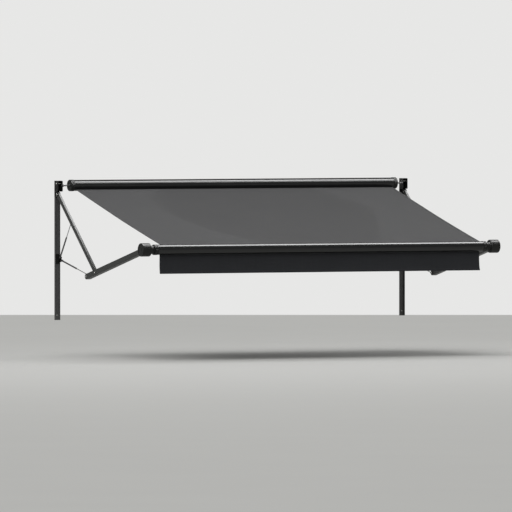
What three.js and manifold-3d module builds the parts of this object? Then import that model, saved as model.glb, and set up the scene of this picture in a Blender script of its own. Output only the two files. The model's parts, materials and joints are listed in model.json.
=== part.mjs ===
// Lateral-arm patio awning: two wall channels carry folding arms that push a spring roller away from a
// fixed rear tube, with a canopy between the two tubes and a valance hanging from the roller.
// Millimetres, +Z up, +X along the tubes, the wall at y = 0 and the awning in front of it at y < 0.
import * as THREE from "three";
import { mergeVertices } from "three/addons/utils/BufferGeometryUtils.js";
import Module from "manifold-3d";

const wasm = await Module();
wasm.setup();

// Driving dimensions
const SPAN = 4700; // between the centre lines of the two wall channels
const FABRIC = 4316; // width of the canopy and the valance
const REAR_TUBE = 4344; // length of the fixed rear tube
const ROLLER = 4390; // length of the roller tube
const CHANNEL = { width: 66, depth: 26, wall: 3, top: -26.5, bottom: -1500 };
const PIVOT_OUT = 60; // how far the arm pivots stand off the wall
const UPPER_ARM = 1335; // top pivot to elbow
const OUTER_ARM = 1270; // elbow to the roller's axis
const TAIL = 228; // elbow to the lower link's pivot, behind the elbow
const UPPER_ANGLE = 46.9; // upper arm from hanging straight down, awning open
const OUTER_PITCH = 13.2; // outer arm above level, awning open
const STOWED_LEAN = 5.2; // outer arm from upright, awning stowed
const STRUT_ON_ARM = 430; // top pivot to the strut's eye
const STRUT_ABOVE_LINK = 38; // strut pivot over the lower link's pivot
const REAR_AXIS = { out: 78, up: 108, radius: 66 };
const REAR_SLOT = 228; // the canopy's slot round the rear tube, from the wall by way of the top
const ROLLER_RADIUS = 60;
const TUBE_WALL = 6;
const VALANCE_DROP = 224;
const SHEET = 2.4; // thickness of the fabric solids
const GAP = 0.3; // between pieces that touch

// Layers across each pair of arms, measured outboard from the channel's centre line
const UPPER_LAYER = [-1, 23];
const STRUT_LAYER = -14;
const LINK_LAYER = -38.5; // beside the outer arm's inboard wall
const LUG = [-28, -23]; // lower bracket's plate, between the two
const ARM_WIDTH = 56;
const ARM_DEPTH = 66;
const ARM_WALL = 3;
const PIN_RADIUS = 6;

const rad = THREE.MathUtils.degToRad;
const HALF = SPAN / 2;

// Points of the linkage as (y, z), seen along the tubes
const at = (angle, length, from = new THREE.Vector2()) =>
  new THREE.Vector2(Math.cos(rad(angle)), Math.sin(rad(angle))).multiplyScalar(length).add(from);
const upperAngle = -90 - UPPER_ANGLE;
const outerAngle = 180 - OUTER_PITCH;
const A = new THREE.Vector2(-PIVOT_OUT, 0);
const ELBOW = at(upperAngle, UPPER_ARM, A);
const TAIL_END = at(outerAngle, -TAIL, ELBOW);
const ROLLER_AXIS = at(outerAngle, OUTER_ARM, ELBOW);
const LINK_PIVOT = linkPivot();
const STRUT_PIVOT = LINK_PIVOT.clone().add(new THREE.Vector2(0, STRUT_ABOVE_LINK));
const STRUT_EYE = at(upperAngle, STRUT_ON_ARM, A);
const REAR = new THREE.Vector2(-REAR_AXIS.out, REAR_AXIS.up);

// The link's wall pivot is level with the point that is as far from the open tail as from the stowed one.
function linkPivot() {
  const stowedElbow = at(-90, UPPER_ARM, A);
  const stowedTail = at(90 + STOWED_LEAN, -TAIL, stowedElbow);
  const middle = TAIL_END.clone().add(stowedTail).multiplyScalar(0.5);
  const across = TAIL_END.clone().sub(stowedTail);
  const up = middle.y - ((A.x - middle.x) * across.x) / across.y;
  return new THREE.Vector2(A.x, up);
}

const directionOf = (from, to) => Math.atan2(to.y - from.y, to.x - from.x);

// Materials
const finish = (color, roughness, metalness) =>
  new THREE.MeshStandardMaterial({ color, roughness, metalness });
const blackCoat = () => finish(0x151615, 0.5, 0.4);
const blackCasting = () => finish(0x121312, 0.6, 0.3);
const steel = () => finish(0xc8c8c6, 0.3, 1);
const springSteel = () => finish(0x5a5c5e, 0.45, 1);
const canvas = (color) => finish(color, 0.95, 0);

// Solid helpers
function toSolid(geometry) {
  const bare = geometry.clone();
  bare.deleteAttribute("normal");
  bare.deleteAttribute("uv");
  const merged = mergeVertices(bare, 1e-4);
  return new wasm.Manifold(
    new wasm.Mesh({
      numProp: 3,
      vertProperties: merged.attributes.position.array,
      triVerts: new Uint32Array(merged.index.array),
    }),
  );
}

function toGeometry(solid) {
  const mesh = solid.getMesh();
  const geometry = new THREE.BufferGeometry();
  geometry.setAttribute("position", new THREE.BufferAttribute(mesh.vertProperties, 3));
  geometry.setIndex(new THREE.BufferAttribute(mesh.triVerts, 1));
  geometry.computeVertexNormals();
  return geometry;
}

const join = (...parts) => toGeometry(parts.map(toSolid).reduce((a, b) => a.add(b)));
const cut = (body, ...tools) =>
  toGeometry(tools.map(toSolid).reduce((a, b) => a.subtract(b), toSolid(body)));

// A box from its lowest to its highest corner.
function block(x, y, z) {
  return new THREE.BoxGeometry(x[1] - x[0], y[1] - y[0], z[1] - z[0]).translate(
    (x[0] + x[1]) / 2,
    (y[0] + y[1]) / 2,
    (z[0] + z[1]) / 2,
  );
}

// A cylinder along X.
function bar(radius, x, y = 0, z = 0, sides = 14) {
  return new THREE.CylinderGeometry(radius, radius, x[1] - x[0], sides)
    .rotateZ(Math.PI / 2)
    .translate((x[0] + x[1]) / 2, y, z);
}

// A shape drawn in (y, z) and extruded along X.
function alongX(shape, x, curveSegments = 8) {
  const depth = x[1] - x[0];
  const turn = new THREE.Matrix4().makeBasis(
    new THREE.Vector3(0, 1, 0),
    new THREE.Vector3(0, 0, 1),
    new THREE.Vector3(1, 0, 0),
  );
  return new THREE.ExtrudeGeometry(shape, { depth, bevelEnabled: false, curveSegments })
    .applyMatrix4(turn)
    .translate(x[0], 0, 0);
}

// A profile of (radius, place along X) points turned about the X axis.
function turned(profile, sides = 28) {
  const points = profile.map(([radius, along]) => new THREE.Vector2(radius, along));
  return new THREE.LatheGeometry(points, sides).rotateZ(-Math.PI / 2);
}

// Turned pieces are drawn for the right-hand side; the left-hand ones are turned half round about Z.
const facing = (geometry, side) => (side > 0 ? geometry : geometry.rotateZ(Math.PI));

// Outboard distances from a channel's centre line as a span along X.
const outboard = (side, from, to) => [side * from, side * to].sort((a, b) => a - b);

// A flat bar's outline between two pivots, rounded about each of them.
function stadium(length, radius) {
  const shape = new THREE.Shape();
  shape.absarc(0, 0, radius, Math.PI / 2, (3 * Math.PI) / 2, false);
  shape.absarc(length, 0, radius, -Math.PI / 2, Math.PI / 2, false);
  shape.closePath();
  return shape;
}

// A round tube with keder slots, open at both ends.
function slottedTube(radius, length, slots) {
  const slot = { half: 5, depth: 4 };
  const half = Math.asin(slot.half / radius);
  const shape = new THREE.Shape();
  slots.forEach((angle, i) => {
    const next = slots[(i + 1) % slots.length] + (i + 1 === slots.length ? 360 : 0);
    const floor = radius - slot.depth;
    shape.absarc(0, 0, radius, rad(angle) + half, rad(next) - half, false);
    shape.lineTo(floor * Math.cos(rad(next) - half), floor * Math.sin(rad(next) - half));
    shape.lineTo(floor * Math.cos(rad(next) + half), floor * Math.sin(rad(next) + half));
  });
  shape.closePath();
  const bore = new THREE.Path();
  bore.absarc(0, 0, radius - TUBE_WALL, 0, 2 * Math.PI, true);
  shape.holes.push(bore);
  return alongX(shape, [-length / 2, length / 2], 16);
}

// Pieces fixed to the wall
const BRACKET_SCREW_UP = 128;
const FOOT_SCREW_UP = CHANNEL.bottom + 58;
const screwHole = (up) => new THREE.CylinderGeometry(4.5, 4.5, 20, 12).translate(0, 0, up);

function wallChannel() {
  const { width, depth, wall, top, bottom } = CHANNEL;
  const half = width / 2;
  const height = top - bottom;
  const section = new THREE.Shape([
    new THREE.Vector2(-half, 0),
    new THREE.Vector2(-half, -depth),
    new THREE.Vector2(-half + wall, -depth),
    new THREE.Vector2(-half + wall, -wall),
    new THREE.Vector2(half - wall, -wall),
    new THREE.Vector2(half - wall, -depth),
    new THREE.Vector2(half, -depth),
    new THREE.Vector2(half, 0),
  ]);
  const channel = new THREE.ExtrudeGeometry(section, { depth: height, bevelEnabled: false });
  return cut(channel.translate(0, 0, bottom), screwHole(FOOT_SCREW_UP));
}

const BRACKET_TOP = 165;
const CHEEK = 5;
const EAR_FRONT = REAR.x - 15;
const TIE_BOLT = new THREE.Vector2(A.x, 132); // across the ears of the top bracket

function topBracket(side) {
  const half = CHANNEL.width / 2;
  const bottom = CHANNEL.top + GAP;
  const back = block([-half, half], [-6, 0], [bottom, BRACKET_TOP]);
  const cheekShape = new THREE.Shape();
  cheekShape.moveTo(-1, bottom);
  cheekShape.lineTo(A.x, bottom + 4.5);
  cheekShape.absarc(A.x, 0, -bottom - 4.5, -Math.PI / 2, -Math.PI, true);
  cheekShape.lineTo(A.x + bottom + 4.5, 20);
  cheekShape.lineTo(-1, 60);
  cheekShape.closePath();
  const [inner, outer] = UPPER_LAYER;
  const cheeks = [
    [outer + 0.5, outer + 0.5 + CHEEK],
    [inner - 0.5 - CHEEK, inner - 0.5],
  ].map(([from, to]) => alongX(cheekShape, outboard(side, from, to)));
  const ear = new THREE.Shape([
    new THREE.Vector2(-1, 36),
    new THREE.Vector2(EAR_FRONT + 14, 36),
    new THREE.Vector2(EAR_FRONT, 50),
    new THREE.Vector2(EAR_FRONT, BRACKET_TOP - 8),
    new THREE.Vector2(EAR_FRONT + 8, BRACKET_TOP),
    new THREE.Vector2(-1, BRACKET_TOP),
  ]);
  const ears = [
    [-half, -half + 7],
    [half - 5, half],
  ].map(([from, to]) => alongX(ear, outboard(side, from, to)));
  const cover = block([-half, half], [EAR_FRONT + 8, -1], [BRACKET_TOP - 6, BRACKET_TOP]);
  const across = [-half - 5, half + 5];
  const pinHole = bar(PIN_RADIUS + GAP, across, A.x, 0);
  const tieHole = bar(PIN_RADIUS + GAP, across, TIE_BOLT.x, TIE_BOLT.y);
  const spindleHole = bar(9 + GAP, outboard(side, -half - 5, -half + 12), REAR.x, REAR.y);
  const holes = [pinHole, tieHole, spindleHole, screwHole(BRACKET_SCREW_UP)];
  return cut(join(back, ...cheeks, ...ears, cover), ...holes);
}

// A wall screw, head towards the room, with its seat at y = -seat.
function wallScrew(seat, up) {
  const shank = 4;
  const head = 9;
  const profile = [
    [0, -seat + 0.7],
    [shank, -seat + 0.7],
    [shank, GAP],
    [head, GAP],
    [head, 3],
    [head - 3, 5.5],
    [0, 5.5],
  ].map(([radius, along]) => new THREE.Vector2(radius, along));
  return new THREE.LatheGeometry(profile, 14).rotateX(Math.PI).translate(0, -seat, up);
}

function lowerBracket(side) {
  const base = block([-29.5, 29.5], [-8, -CHANNEL.wall - GAP], [LINK_PIVOT.y - 40, STRUT_PIVOT.y + 40]);
  const lug = new THREE.Shape();
  const radius = 14;
  lug.moveTo(-4, LINK_PIVOT.y - 34);
  lug.lineTo(A.x, LINK_PIVOT.y - radius);
  lug.absarc(A.x, LINK_PIVOT.y, radius, -Math.PI / 2, -Math.PI, true);
  lug.absarc(A.x, STRUT_PIVOT.y, radius, Math.PI, Math.PI / 2, true);
  lug.lineTo(-4, STRUT_PIVOT.y + 34);
  lug.closePath();
  const plate = alongX(lug, outboard(side, ...LUG));
  const holes = [LINK_PIVOT.y, STRUT_PIVOT.y].map((up) => bar(PIN_RADIUS + GAP, [-60, 60], A.x, up));
  return cut(join(base, plate), ...holes);
}

function rearSpindle(side) {
  const start = -(HALF - REAR_TUBE / 2) - 30;
  const profile = [
    [0, start],
    [9, start],
    [9, -CHANNEL.width / 2 - 16],
    [16, -CHANNEL.width / 2 - 16],
    [16, -CHANNEL.width / 2 - GAP],
    [9, -CHANNEL.width / 2 - GAP],
    [9, -CHANNEL.width / 2 + 12],
    [0, -CHANNEL.width / 2 + 12],
  ];
  return facing(turned(profile, 16), side).translate(0, REAR.x, REAR.y);
}

// Plugs the rear tube and carries it on the spindle.
function rearEndCap(side) {
  const face = -(HALF - REAR_TUBE / 2);
  const bore = 9 + GAP;
  const inner = REAR_AXIS.radius - TUBE_WALL - 0.5;
  const rim = REAR_AXIS.radius + 3;
  const drum = 50;
  const profile = [
    [bore, face - 36],
    [inner, face - 36],
    [inner, face + GAP],
    [rim, face + GAP],
    [rim, face + drum - 8],
    [rim - 3, face + drum - 2],
    [rim - 9, face + drum],
    [bore, face + drum],
    [bore, face - 36],
  ];
  return facing(turned(profile), side).translate(0, REAR.x, REAR.y);
}

// Arms, each drawn from its pivot along +Y
function upperArm() {
  const depth = 28;
  const wall = 3;
  const outline = alongX(stadium(UPPER_ARM, depth), [-12, 12]);
  const hollow = block([-12 + wall, 12 - wall], [-60, UPPER_ARM + 60], [-depth + wall, depth - wall]);
  const pins = [0, UPPER_ARM].map((y) => bar(PIN_RADIUS + GAP, [-20, 20], y));
  return cut(outline, hollow, ...pins);
}

// Headed pin across an arm, its head outboard at the seat.
function armPin(side, from, to) {
  const profile = [
    [0, from],
    [PIN_RADIUS, from],
    [PIN_RADIUS, to + GAP],
    [11, to + GAP],
    [11, to + 5],
    [8, to + 8],
    [0, to + 8],
  ];
  return facing(turned(profile, 14), side);
}

// A channel that opens upwards when the awning is open; its web is on the +Z side of this drawing.
function outerArm() {
  const half = ARM_WIDTH / 2;
  const web = ARM_DEPTH / 2 + 1;
  const length = OUTER_ARM - 50;
  const outline = new THREE.Shape();
  outline.moveTo(-TAIL, web);
  outline.absarc(-TAIL, 1, ARM_DEPTH / 2, Math.PI / 2, (3 * Math.PI) / 2, false);
  outline.lineTo(0, 1 - ARM_DEPTH / 2);
  outline.lineTo(length, 5 - ARM_DEPTH / 2);
  outline.lineTo(length, web);
  outline.closePath();
  const body = alongX(outline, [-half, half]);
  const hollow = block(
    [-half + ARM_WALL, half - ARM_WALL],
    [-TAIL - 60, length + 10],
    [-ARM_DEPTH, web - ARM_WALL],
  );
  const elbowHole = bar(PIN_RADIUS + GAP, [-half - 5, half + 5]);
  const tailHole = bar(PIN_RADIUS + GAP, [-half - 5, half + 5], -TAIL);
  const cope = bar(HEAD.radius + 1, [-half - 5, half + 5], OUTER_ARM, 0, 28);
  return cut(body, hollow, elbowHole, tailHole, cope);
}

const LINK_LENGTH = LINK_PIVOT.distanceTo(TAIL_END);
const LINK_TUBE = 0.5; // share of the link that is tube

function lowerLink() {
  const tube = new THREE.CylinderGeometry(9, 9, LINK_LENGTH * LINK_TUBE - 8, 14);
  tube.translate(0, (LINK_LENGTH * LINK_TUBE) / 2 + 4, 0);
  const eye = bar(13, [-9, 9]);
  const pin = bar(PIN_RADIUS + GAP, [-20, 20]);
  const socket = new THREE.CylinderGeometry(5 + GAP, 5 + GAP, 80, 12);
  socket.translate(0, LINK_LENGTH * LINK_TUBE - 20, 0);
  return cut(join(tube, eye), pin, socket);
}

function linkRod() {
  const start = LINK_LENGTH * LINK_TUBE - 50;
  const rod = new THREE.CylinderGeometry(5, 5, LINK_LENGTH - start, 12);
  rod.translate(0, (LINK_LENGTH + start) / 2, 0);
  return join(rod, bar(12, [-8, 8], LINK_LENGTH));
}

const STRUT_OPEN = STRUT_PIVOT.distanceTo(STRUT_EYE);
const STRUT_CYLINDER = 288;

function strutCylinder() {
  const body = new THREE.CylinderGeometry(9, 9, STRUT_CYLINDER - 10, 14);
  body.translate(0, STRUT_CYLINDER / 2 + 5, 0);
  const bore = new THREE.CylinderGeometry(7, 7, STRUT_CYLINDER - 20, 14);
  bore.translate(0, STRUT_CYLINDER / 2 + 20, 0);
  const pin = bar(PIN_RADIUS + GAP, [-20, 20]);
  return cut(join(body, bar(11, [-8, 8])), bore, pin);
}

// Piston, rod and eye, with the stud that meets the upper arm.
function strutRod(side) {
  const piston = STRUT_OPEN - 262;
  const profile = [
    [0, piston],
    [6.5, piston],
    [6.5, piston + 12],
    [4, piston + 12],
    [4, STRUT_OPEN],
    [0, STRUT_OPEN],
  ].map(([radius, along]) => new THREE.Vector2(radius, along));
  const rod = new THREE.LatheGeometry(profile, 12);
  const stud = bar(7, outboard(side, -8, 12.4), STRUT_OPEN);
  return join(rod, stud);
}

// Pin in the lower bracket's lug, with its head beyond the piece that turns on it.
function lugPin(side, seat, tip) {
  const away = Math.sign(seat - tip);
  const profile = [
    [0, tip],
    [PIN_RADIUS, tip],
    [PIN_RADIUS, seat + away * GAP],
    [10, seat + away * GAP],
    [10, seat + away * 5],
    [7, seat + away * 7],
    [0, seat + away * 7],
  ];
  return facing(turned(away > 0 ? profile : profile.reverse(), 14), side);
}

// Roller heads, drawn about the roller's axis
const HEAD = { radius: 79, half: 58, neck: 106, neckRadius: 50 };
const SHAFT_RADIUS = 12;

function headHousing(side) {
  const { radius, half, neck, neckRadius } = HEAD;
  const round = 14;
  const lip = half - 8;
  const corner = Array.from({ length: 5 }, (_, i) => {
    const turn = (i / 4) * (Math.PI / 2);
    return [radius - round + round * Math.sin(turn), -half + round - round * Math.cos(turn)];
  });
  const profile = [
    [SHAFT_RADIUS + GAP, -neck],
    [neckRadius, -neck],
    [neckRadius, -half],
    ...corner,
    [radius, lip],
    [radius - 9, lip],
    [radius - 9, -half + 10],
    [SHAFT_RADIUS + GAP, -half + 10],
    [SHAFT_RADIUS + GAP, -neck],
  ];
  const drum = facing(turned(profile), side);
  const inside = ARM_WIDTH / 2 - ARM_WALL - 0.4;
  const tongue = block([-inside, inside], [-190, -radius + 6], [-24, ARM_DEPTH / 2 - ARM_WALL + 0.6]);
  return join(drum, tongue);
}

function headCover(side) {
  const { radius, half } = HEAD;
  const lip = half - 8 + GAP;
  const profile = [
    [0, lip - 8],
    [radius - 9.5, lip - 8],
    [radius - 9.5, lip],
    [radius, lip],
    [radius, lip + 2],
    [radius - 3, half],
    [radius - 10, half + 3],
    [0, half + 3],
  ];
  return facing(turned(profile), side);
}

function rollerShaft(side) {
  const start = -HALF + 1930;
  return bar(SHAFT_RADIUS, outboard(side, start, -HEAD.half + 60));
}

function rollerPlug(side) {
  const face = -(HALF - ROLLER / 2);
  const bore = SHAFT_RADIUS + GAP;
  const inner = ROLLER_RADIUS - TUBE_WALL - 0.5;
  const rim = ROLLER_RADIUS + 2;
  const profile = [
    [bore, face - 50],
    [inner, face - 50],
    [inner, face + GAP],
    [rim, face + GAP],
    [rim, -HEAD.neck - 4],
    [rim - 3, -HEAD.neck - 1],
    [bore, -HEAD.neck - 1],
    [bore, face - 50],
  ];
  return facing(turned(profile), side);
}

// A coil round the shaft, inside the roller.
const SPRING = { length: 170, radius: 22, wire: 3.5, turns: 8, stepsPerTurn: 9 };

class Helix extends THREE.Curve {
  getPoint(t) {
    const { length, radius, turns } = SPRING;
    const angle = 2 * Math.PI * turns * t;
    return new THREE.Vector3(length * t, radius * Math.cos(angle), radius * Math.sin(angle));
  }
}

function torsionSpring(side) {
  const section = new THREE.Shape();
  section.absarc(0, 0, SPRING.wire, 0, 2 * Math.PI, false);
  const steps = SPRING.turns * SPRING.stepsPerTurn;
  const coil = new THREE.ExtrudeGeometry(section, {
    extrudePath: new Helix(),
    steps,
    curveSegments: 3,
    bevelEnabled: false,
  });
  return facing(coil.translate(-(HALF - ROLLER / 2) - 60 - SPRING.length, 0, 0), side);
}

// Fabric: from the rear tube's slot, on the tangent to the top of the roller
function fabricLine() {
  const start = at(REAR_SLOT, REAR_AXIS.radius + 2, REAR);
  const front = ROLLER_RADIUS + 1 + SHEET / 2;
  const between = start.clone().sub(ROLLER_AXIS);
  const slope = Math.atan2(between.y, between.x) - Math.asin(front / between.length());
  const normal = new THREE.Vector2(-Math.sin(slope), Math.cos(slope));
  return { start, end: ROLLER_AXIS.clone().addScaledVector(normal, front), normal };
}

function canopy() {
  const { start, end, normal } = fabricLine();
  const side = normal.clone().multiplyScalar(SHEET / 2);
  const outline = new THREE.Shape([
    start.clone().add(side),
    end.clone().add(side),
    end.clone().sub(side),
    start.clone().sub(side),
  ]);
  return alongX(outline, [-FABRIC / 2, FABRIC / 2]);
}

function valance() {
  const top = -ROLLER_RADIUS - 1;
  return block([-FABRIC / 2, FABRIC / 2], [-SHEET / 2, SHEET / 2], [top - VALANCE_DROP, top]);
}

// Assembly
function piece(parent, name, geometry, material) {
  const mesh = new THREE.Mesh(geometry, material);
  mesh.name = name;
  parent.add(mesh);
  return mesh;
}

// A group at a pivot, turned so that its +Y points along the arm.
function pivotGroup(parent, point, angle = 0, x = 0) {
  const group = new THREE.Group();
  group.position.set(x, point.x, point.y);
  group.rotation.x = angle;
  parent.add(group);
  return group;
}

function wallPieces(group, side, hand) {
  piece(group, hand + "_wall_channel", wallChannel(), blackCoat());
  piece(group, hand + "_top_bracket", topBracket(side), blackCasting());
  piece(group, hand + "_lower_bracket", lowerBracket(side), blackCasting());
  piece(group, hand + "_bracket_screw", wallScrew(6, BRACKET_SCREW_UP), steel());
  piece(group, hand + "_foot_screw", wallScrew(CHANNEL.wall, FOOT_SCREW_UP), steel());
  const half = CHANNEL.width / 2;
  const tie = pivotGroup(group, TIE_BOLT);
  piece(tie, hand + "_tie_bolt", armPin(side, -half - 4, half), steel());
  piece(group, hand + "_rear_spindle", rearSpindle(side), blackCoat());
  piece(group, hand + "_rear_end_cap", rearEndCap(side), blackCasting());
}

function armPieces(group, side, hand) {
  const layer = (side * (UPPER_LAYER[0] + UPPER_LAYER[1])) / 2;
  const upper = pivotGroup(group, A, rad(upperAngle), layer);
  piece(upper, hand + "_upper_arm", upperArm(), blackCoat());
  const top = pivotGroup(group, A);
  piece(top, hand + "_upper_arm_pin", armPin(side, -8, UPPER_LAYER[1] + 0.5 + CHEEK), steel());

  const outer = pivotGroup(group, ELBOW, rad(outerAngle));
  piece(outer, hand + "_outer_arm", outerArm(), blackCoat());
  const wall = ARM_WIDTH / 2;
  piece(outer, hand + "_elbow_pin", armPin(side, -wall, wall), steel());
  // The linkage is open here: the bolt stops at the inboard wall, just short of the link's eye.
  const tail = pivotGroup(outer, new THREE.Vector2(-TAIL, 0));
  piece(tail, hand + "_tail_bolt", armPin(side, -wall, wall), steel());
}

function linkPieces(group, side, hand) {
  const linkLayer = side * LINK_LAYER;
  const link = pivotGroup(group, LINK_PIVOT, directionOf(LINK_PIVOT, TAIL_END), linkLayer);
  piece(link, hand + "_lower_link", lowerLink(), blackCoat());
  piece(link, hand + "_link_rod", linkRod(), steel());
  const linkPin = lugPin(side, LINK_LAYER - 9, LUG[1] + 2);
  piece(pivotGroup(group, LINK_PIVOT), hand + "_link_pin", linkPin, steel());

  const strutLayer = side * STRUT_LAYER;
  const strut = pivotGroup(group, STRUT_PIVOT, directionOf(STRUT_PIVOT, STRUT_EYE), strutLayer);
  piece(strut, hand + "_strut_cylinder", strutCylinder(), blackCoat());
  piece(strut, hand + "_strut_rod", strutRod(side), springSteel());
  const strutPin = lugPin(side, LUG[0], STRUT_LAYER + 8);
  piece(pivotGroup(group, STRUT_PIVOT), hand + "_strut_pin", strutPin, steel());
}

function headPieces(group, side, hand) {
  const head = pivotGroup(group, ROLLER_AXIS, rad(outerAngle));
  piece(head, hand + "_head_housing", headHousing(side), blackCasting());
  const axis = pivotGroup(group, ROLLER_AXIS);
  piece(axis, hand + "_head_cover", headCover(side), blackCasting());
  piece(axis, hand + "_roller_shaft", rollerShaft(side), steel());
  piece(axis, hand + "_roller_plug", rollerPlug(side), blackCasting());
  piece(axis, hand + "_torsion_spring", torsionSpring(side), springSteel());
}

const awning = new THREE.Group();
for (const [side, hand] of [
  [-1, "left"],
  [1, "right"],
]) {
  const group = new THREE.Group();
  group.position.x = side * HALF;
  awning.add(group);
  wallPieces(group, side, hand);
  armPieces(group, side, hand);
  linkPieces(group, side, hand);
  headPieces(group, side, hand);
}

const rear = pivotGroup(awning, REAR);
piece(rear, "rear_tube", slottedTube(REAR_AXIS.radius, REAR_TUBE, [30, 150, REAR_SLOT]), blackCoat());
const roller = pivotGroup(awning, ROLLER_AXIS);
piece(roller, "roller_tube", slottedTube(ROLLER_RADIUS, ROLLER, [20, 118, 270]), blackCoat());
piece(roller, "valance", valance(), canvas(0x222324));
piece(awning, "canopy", canopy(), canvas(0x464648));

// The origin is on the back of the left wall channel, half way up.
awning.position.set(HALF, 0, -(CHANNEL.top + CHANNEL.bottom) / 2);

export default awning;
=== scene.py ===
import json
import math

import bmesh
import bpy
from mathutils import Matrix, Vector


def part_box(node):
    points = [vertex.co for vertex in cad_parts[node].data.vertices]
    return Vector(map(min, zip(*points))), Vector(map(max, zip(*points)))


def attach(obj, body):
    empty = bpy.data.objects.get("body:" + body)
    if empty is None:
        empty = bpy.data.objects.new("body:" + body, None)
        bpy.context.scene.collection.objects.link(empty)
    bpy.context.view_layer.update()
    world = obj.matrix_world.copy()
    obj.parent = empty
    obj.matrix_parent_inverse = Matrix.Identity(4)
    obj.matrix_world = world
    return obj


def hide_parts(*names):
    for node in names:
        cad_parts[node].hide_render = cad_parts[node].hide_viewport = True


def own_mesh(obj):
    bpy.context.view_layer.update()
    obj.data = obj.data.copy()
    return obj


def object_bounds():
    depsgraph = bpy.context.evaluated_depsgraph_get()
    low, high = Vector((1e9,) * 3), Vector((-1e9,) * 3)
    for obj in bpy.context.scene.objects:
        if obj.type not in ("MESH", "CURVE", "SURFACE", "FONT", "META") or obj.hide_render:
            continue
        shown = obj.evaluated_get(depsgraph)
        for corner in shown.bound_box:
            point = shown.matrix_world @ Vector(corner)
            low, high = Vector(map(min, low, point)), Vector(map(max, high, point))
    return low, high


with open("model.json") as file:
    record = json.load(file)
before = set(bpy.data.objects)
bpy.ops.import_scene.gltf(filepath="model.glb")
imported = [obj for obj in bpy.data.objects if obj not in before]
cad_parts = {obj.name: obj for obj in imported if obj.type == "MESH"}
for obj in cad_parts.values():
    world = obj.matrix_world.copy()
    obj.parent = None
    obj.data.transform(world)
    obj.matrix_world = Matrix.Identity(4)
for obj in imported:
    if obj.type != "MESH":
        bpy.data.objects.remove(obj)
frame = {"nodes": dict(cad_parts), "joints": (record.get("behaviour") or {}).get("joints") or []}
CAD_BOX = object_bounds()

bl_info = {
    "name": "Patio awning",
    "version": (1, 0, 0),
    "blender": (4, 5, 0),
    "location": "View3D > Sidebar > Awning",
    "description": "Finished pieces of a folding-arm canvas awning around its CAD frame",
    "category": "Object",
}

MM = 0.001
SIDES = (("left", -1), ("right", 1))


# ---------------------------------------------------------------- places read from the frame

def centre(node):
    """Middle of a CAD node's box."""
    low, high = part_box(node)
    return (low + high) / 2


def half_size(node):
    """Half the size of a CAD node's box."""
    low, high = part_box(node)
    return (high - low) / 2


def edge_x(node, side):
    """X of the left (-1) or right (+1) side of a CAD node's box."""
    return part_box(node)[1 if side > 0 else 0].x


def across(point):
    """A point as (y, z), seen along the tubes."""
    return Vector((point.y, point.z))


def polar(degrees, radius):
    """A point round a tube as (y, z): 0 is towards the wall and 90 is up."""
    angle = math.radians(degrees)
    return Vector((math.cos(angle), math.sin(angle))) * radius


PIVOTS = {joint["name"]: Vector(joint["pos_m"]) for joint in frame["joints"] if joint.get("pos_m")}
ROLLER_AXIS = across(PIVOTS["roller_spin"])
REAR_AXIS = across(centre("left_rear_spindle"))
ROLLER_RADIUS = half_size("roller_tube").z
REAR_RADIUS = half_size("rear_tube").z
FABRIC_LOW, FABRIC_HIGH = (edge_x("canopy", side) for side in (-1, 1))

# Keder slots round each tube, in degrees as polar() counts them
REAR_SLOTS = (30, 150, 228)
ROLLER_SLOTS = (20, 118, 270)
CANOPY_REAR_SLOT = REAR_SLOTS[2]
CANOPY_FRONT_SLOT, VALANCE_SLOT = ROLLER_SLOTS[1:]
SLOT_DEPTH = 4 * MM
TUBE_WALL = 6 * MM


# ---------------------------------------------------------------- settings

def linear(hex_colour):
    """An sRGB hex colour as linear RGBA."""
    parts = [int(hex_colour[i : i + 2], 16) / 255 for i in (1, 3, 5)]
    return [c / 12.92 if c <= 0.04045 else ((c + 0.055) / 1.055) ** 2.4 for c in parts] + [1.0]


def colour(name, description, hex_colour):
    """A colour setting."""
    default = linear(hex_colour)
    return bpy.props.FloatVectorProperty(
        name=name, description=description, default=default, size=4, min=0, max=1, subtype="COLOR"
    )


def length(name, description, default):
    """A length setting, in metres."""
    return bpy.props.FloatProperty(
        name=name, description=description, default=default, min=0, precision=4, unit="LENGTH"
    )


def angle(name, description, degrees):
    """An angle setting."""
    return bpy.props.FloatProperty(
        name=name, description=description, default=math.radians(degrees), subtype="ANGLE"
    )


class AwningColours(bpy.types.PropertyGroup):
    """Colours of the awning's finishes"""

    coat: colour("Powder coat", "Channels, links and struts", "#0a0b0a")
    coat_light: colour("Powder coat, light", "Where the coat lies thinner", "#131413")
    arm: colour("Arm anodising", "Upper and outer arms", "#1e201e")
    arm_light: colour("Arm anodising, light", "Along the drawing lines of the arms", "#343634")
    tube: colour("Tube paint", "Rear tube and roller tube", "#0c0d0d")
    tube_light: colour("Tube paint, light", "Along the drawing lines of the tubes", "#151616")
    casting: colour("Casting", "Heads, end caps and plugs", "#0b0c0b")
    casting_light: colour("Casting, light", "Top of the casting's grain", "#1a1b1a")
    steel: colour("Zinc-plated steel", "Bolts, pins, rods and spindles", "#c9cac6")
    spring_steel: colour("Spring steel", "Strut rods and springs", "#7c7f82")
    canopy: colour("Canopy canvas", "Main colour of the canopy", "#484849")
    canopy_yarn: colour("Canopy yarn", "Lighter yarns of the canopy", "#575758")
    valance: colour("Valance canvas", "Main colour of the valance", "#252628")
    valance_yarn: colour("Valance yarn", "Lighter yarns of the valance", "#333437")
    thread: colour("Thread", "Sewing thread of the hems", "#6f7072")
    keder: colour("Keder", "Beading in the tubes' slots", "#1a1a1a")
    floor: colour("Floor", "Plain pale floor", "#d6d6d3")


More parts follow.
